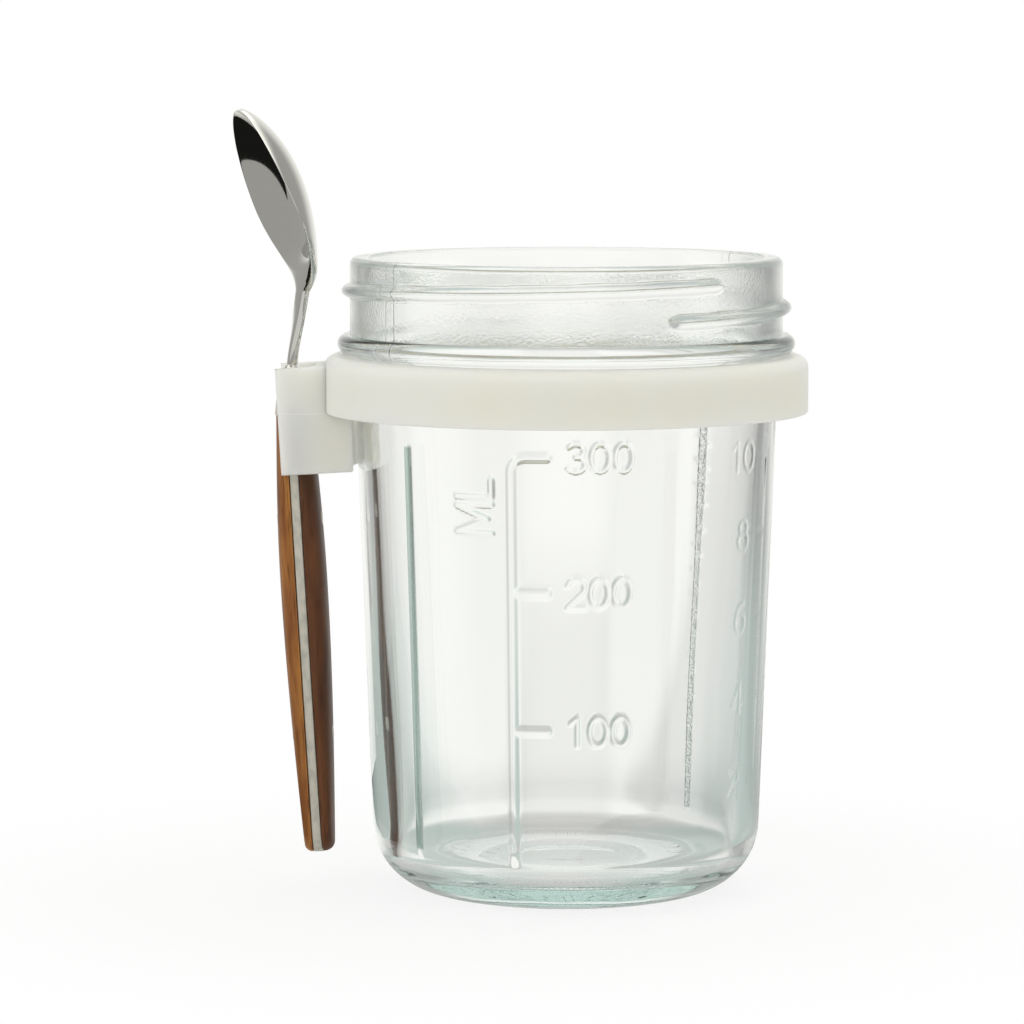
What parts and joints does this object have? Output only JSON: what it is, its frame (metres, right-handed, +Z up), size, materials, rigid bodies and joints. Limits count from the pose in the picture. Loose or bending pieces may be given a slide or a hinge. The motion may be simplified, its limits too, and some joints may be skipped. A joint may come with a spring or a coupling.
{
  "type": "overnight oats jar",
  "caption": "Wide-mouth glass jar with a silicone band whose moulded clip stores a steel spoon with a wooden handle.",
  "frame": {"origin": "on the floor that the jar stands on, under the middle of the whole part's box", "axes": "+Z up along the jar's axis, spoon and clip on the -X side, +Y away from the side that the picture shows"},
  "size_m": [0.1114, 0.0936, 0.1514],
  "materials": {
    "clear_glass": "clear pressed glass with a faint green-blue tint, fire polished",
    "white_silicone": "milky off-white silicone, soft satin",
    "polished_steel": "mirror-polished stainless steel",
    "outer_walnut": "oiled orange-brown wood, satin",
    "inner_walnut": "oiled dark brown wood, satin",
    "pin_steel": "ground steel, flush with the wood"
  },
  "bodies": {
    "jar": {"glass_jar": "clear_glass"},
    "band": {"silicone_band": "white_silicone"},
    "spoon": {"spoon_blade": "polished_steel", "outer_scale": "outer_walnut", "inner_scale": "inner_walnut", "lower_pin": "pin_steel", "upper_pin": "pin_steel"}
  },
  "joints": [
    {"name": "band_turn", "type": "hinge", "parent": "jar", "child": "band", "pos_m": [0.00889, 0, 0], "axis": [0, 0, 1], "continuous": true},
    {"name": "spoon_lift", "type": "slide", "parent": "band", "child": "spoon", "axis": [-0.0576, 0, 0.9983], "range_m": [0, 0.1]}
  ]
}
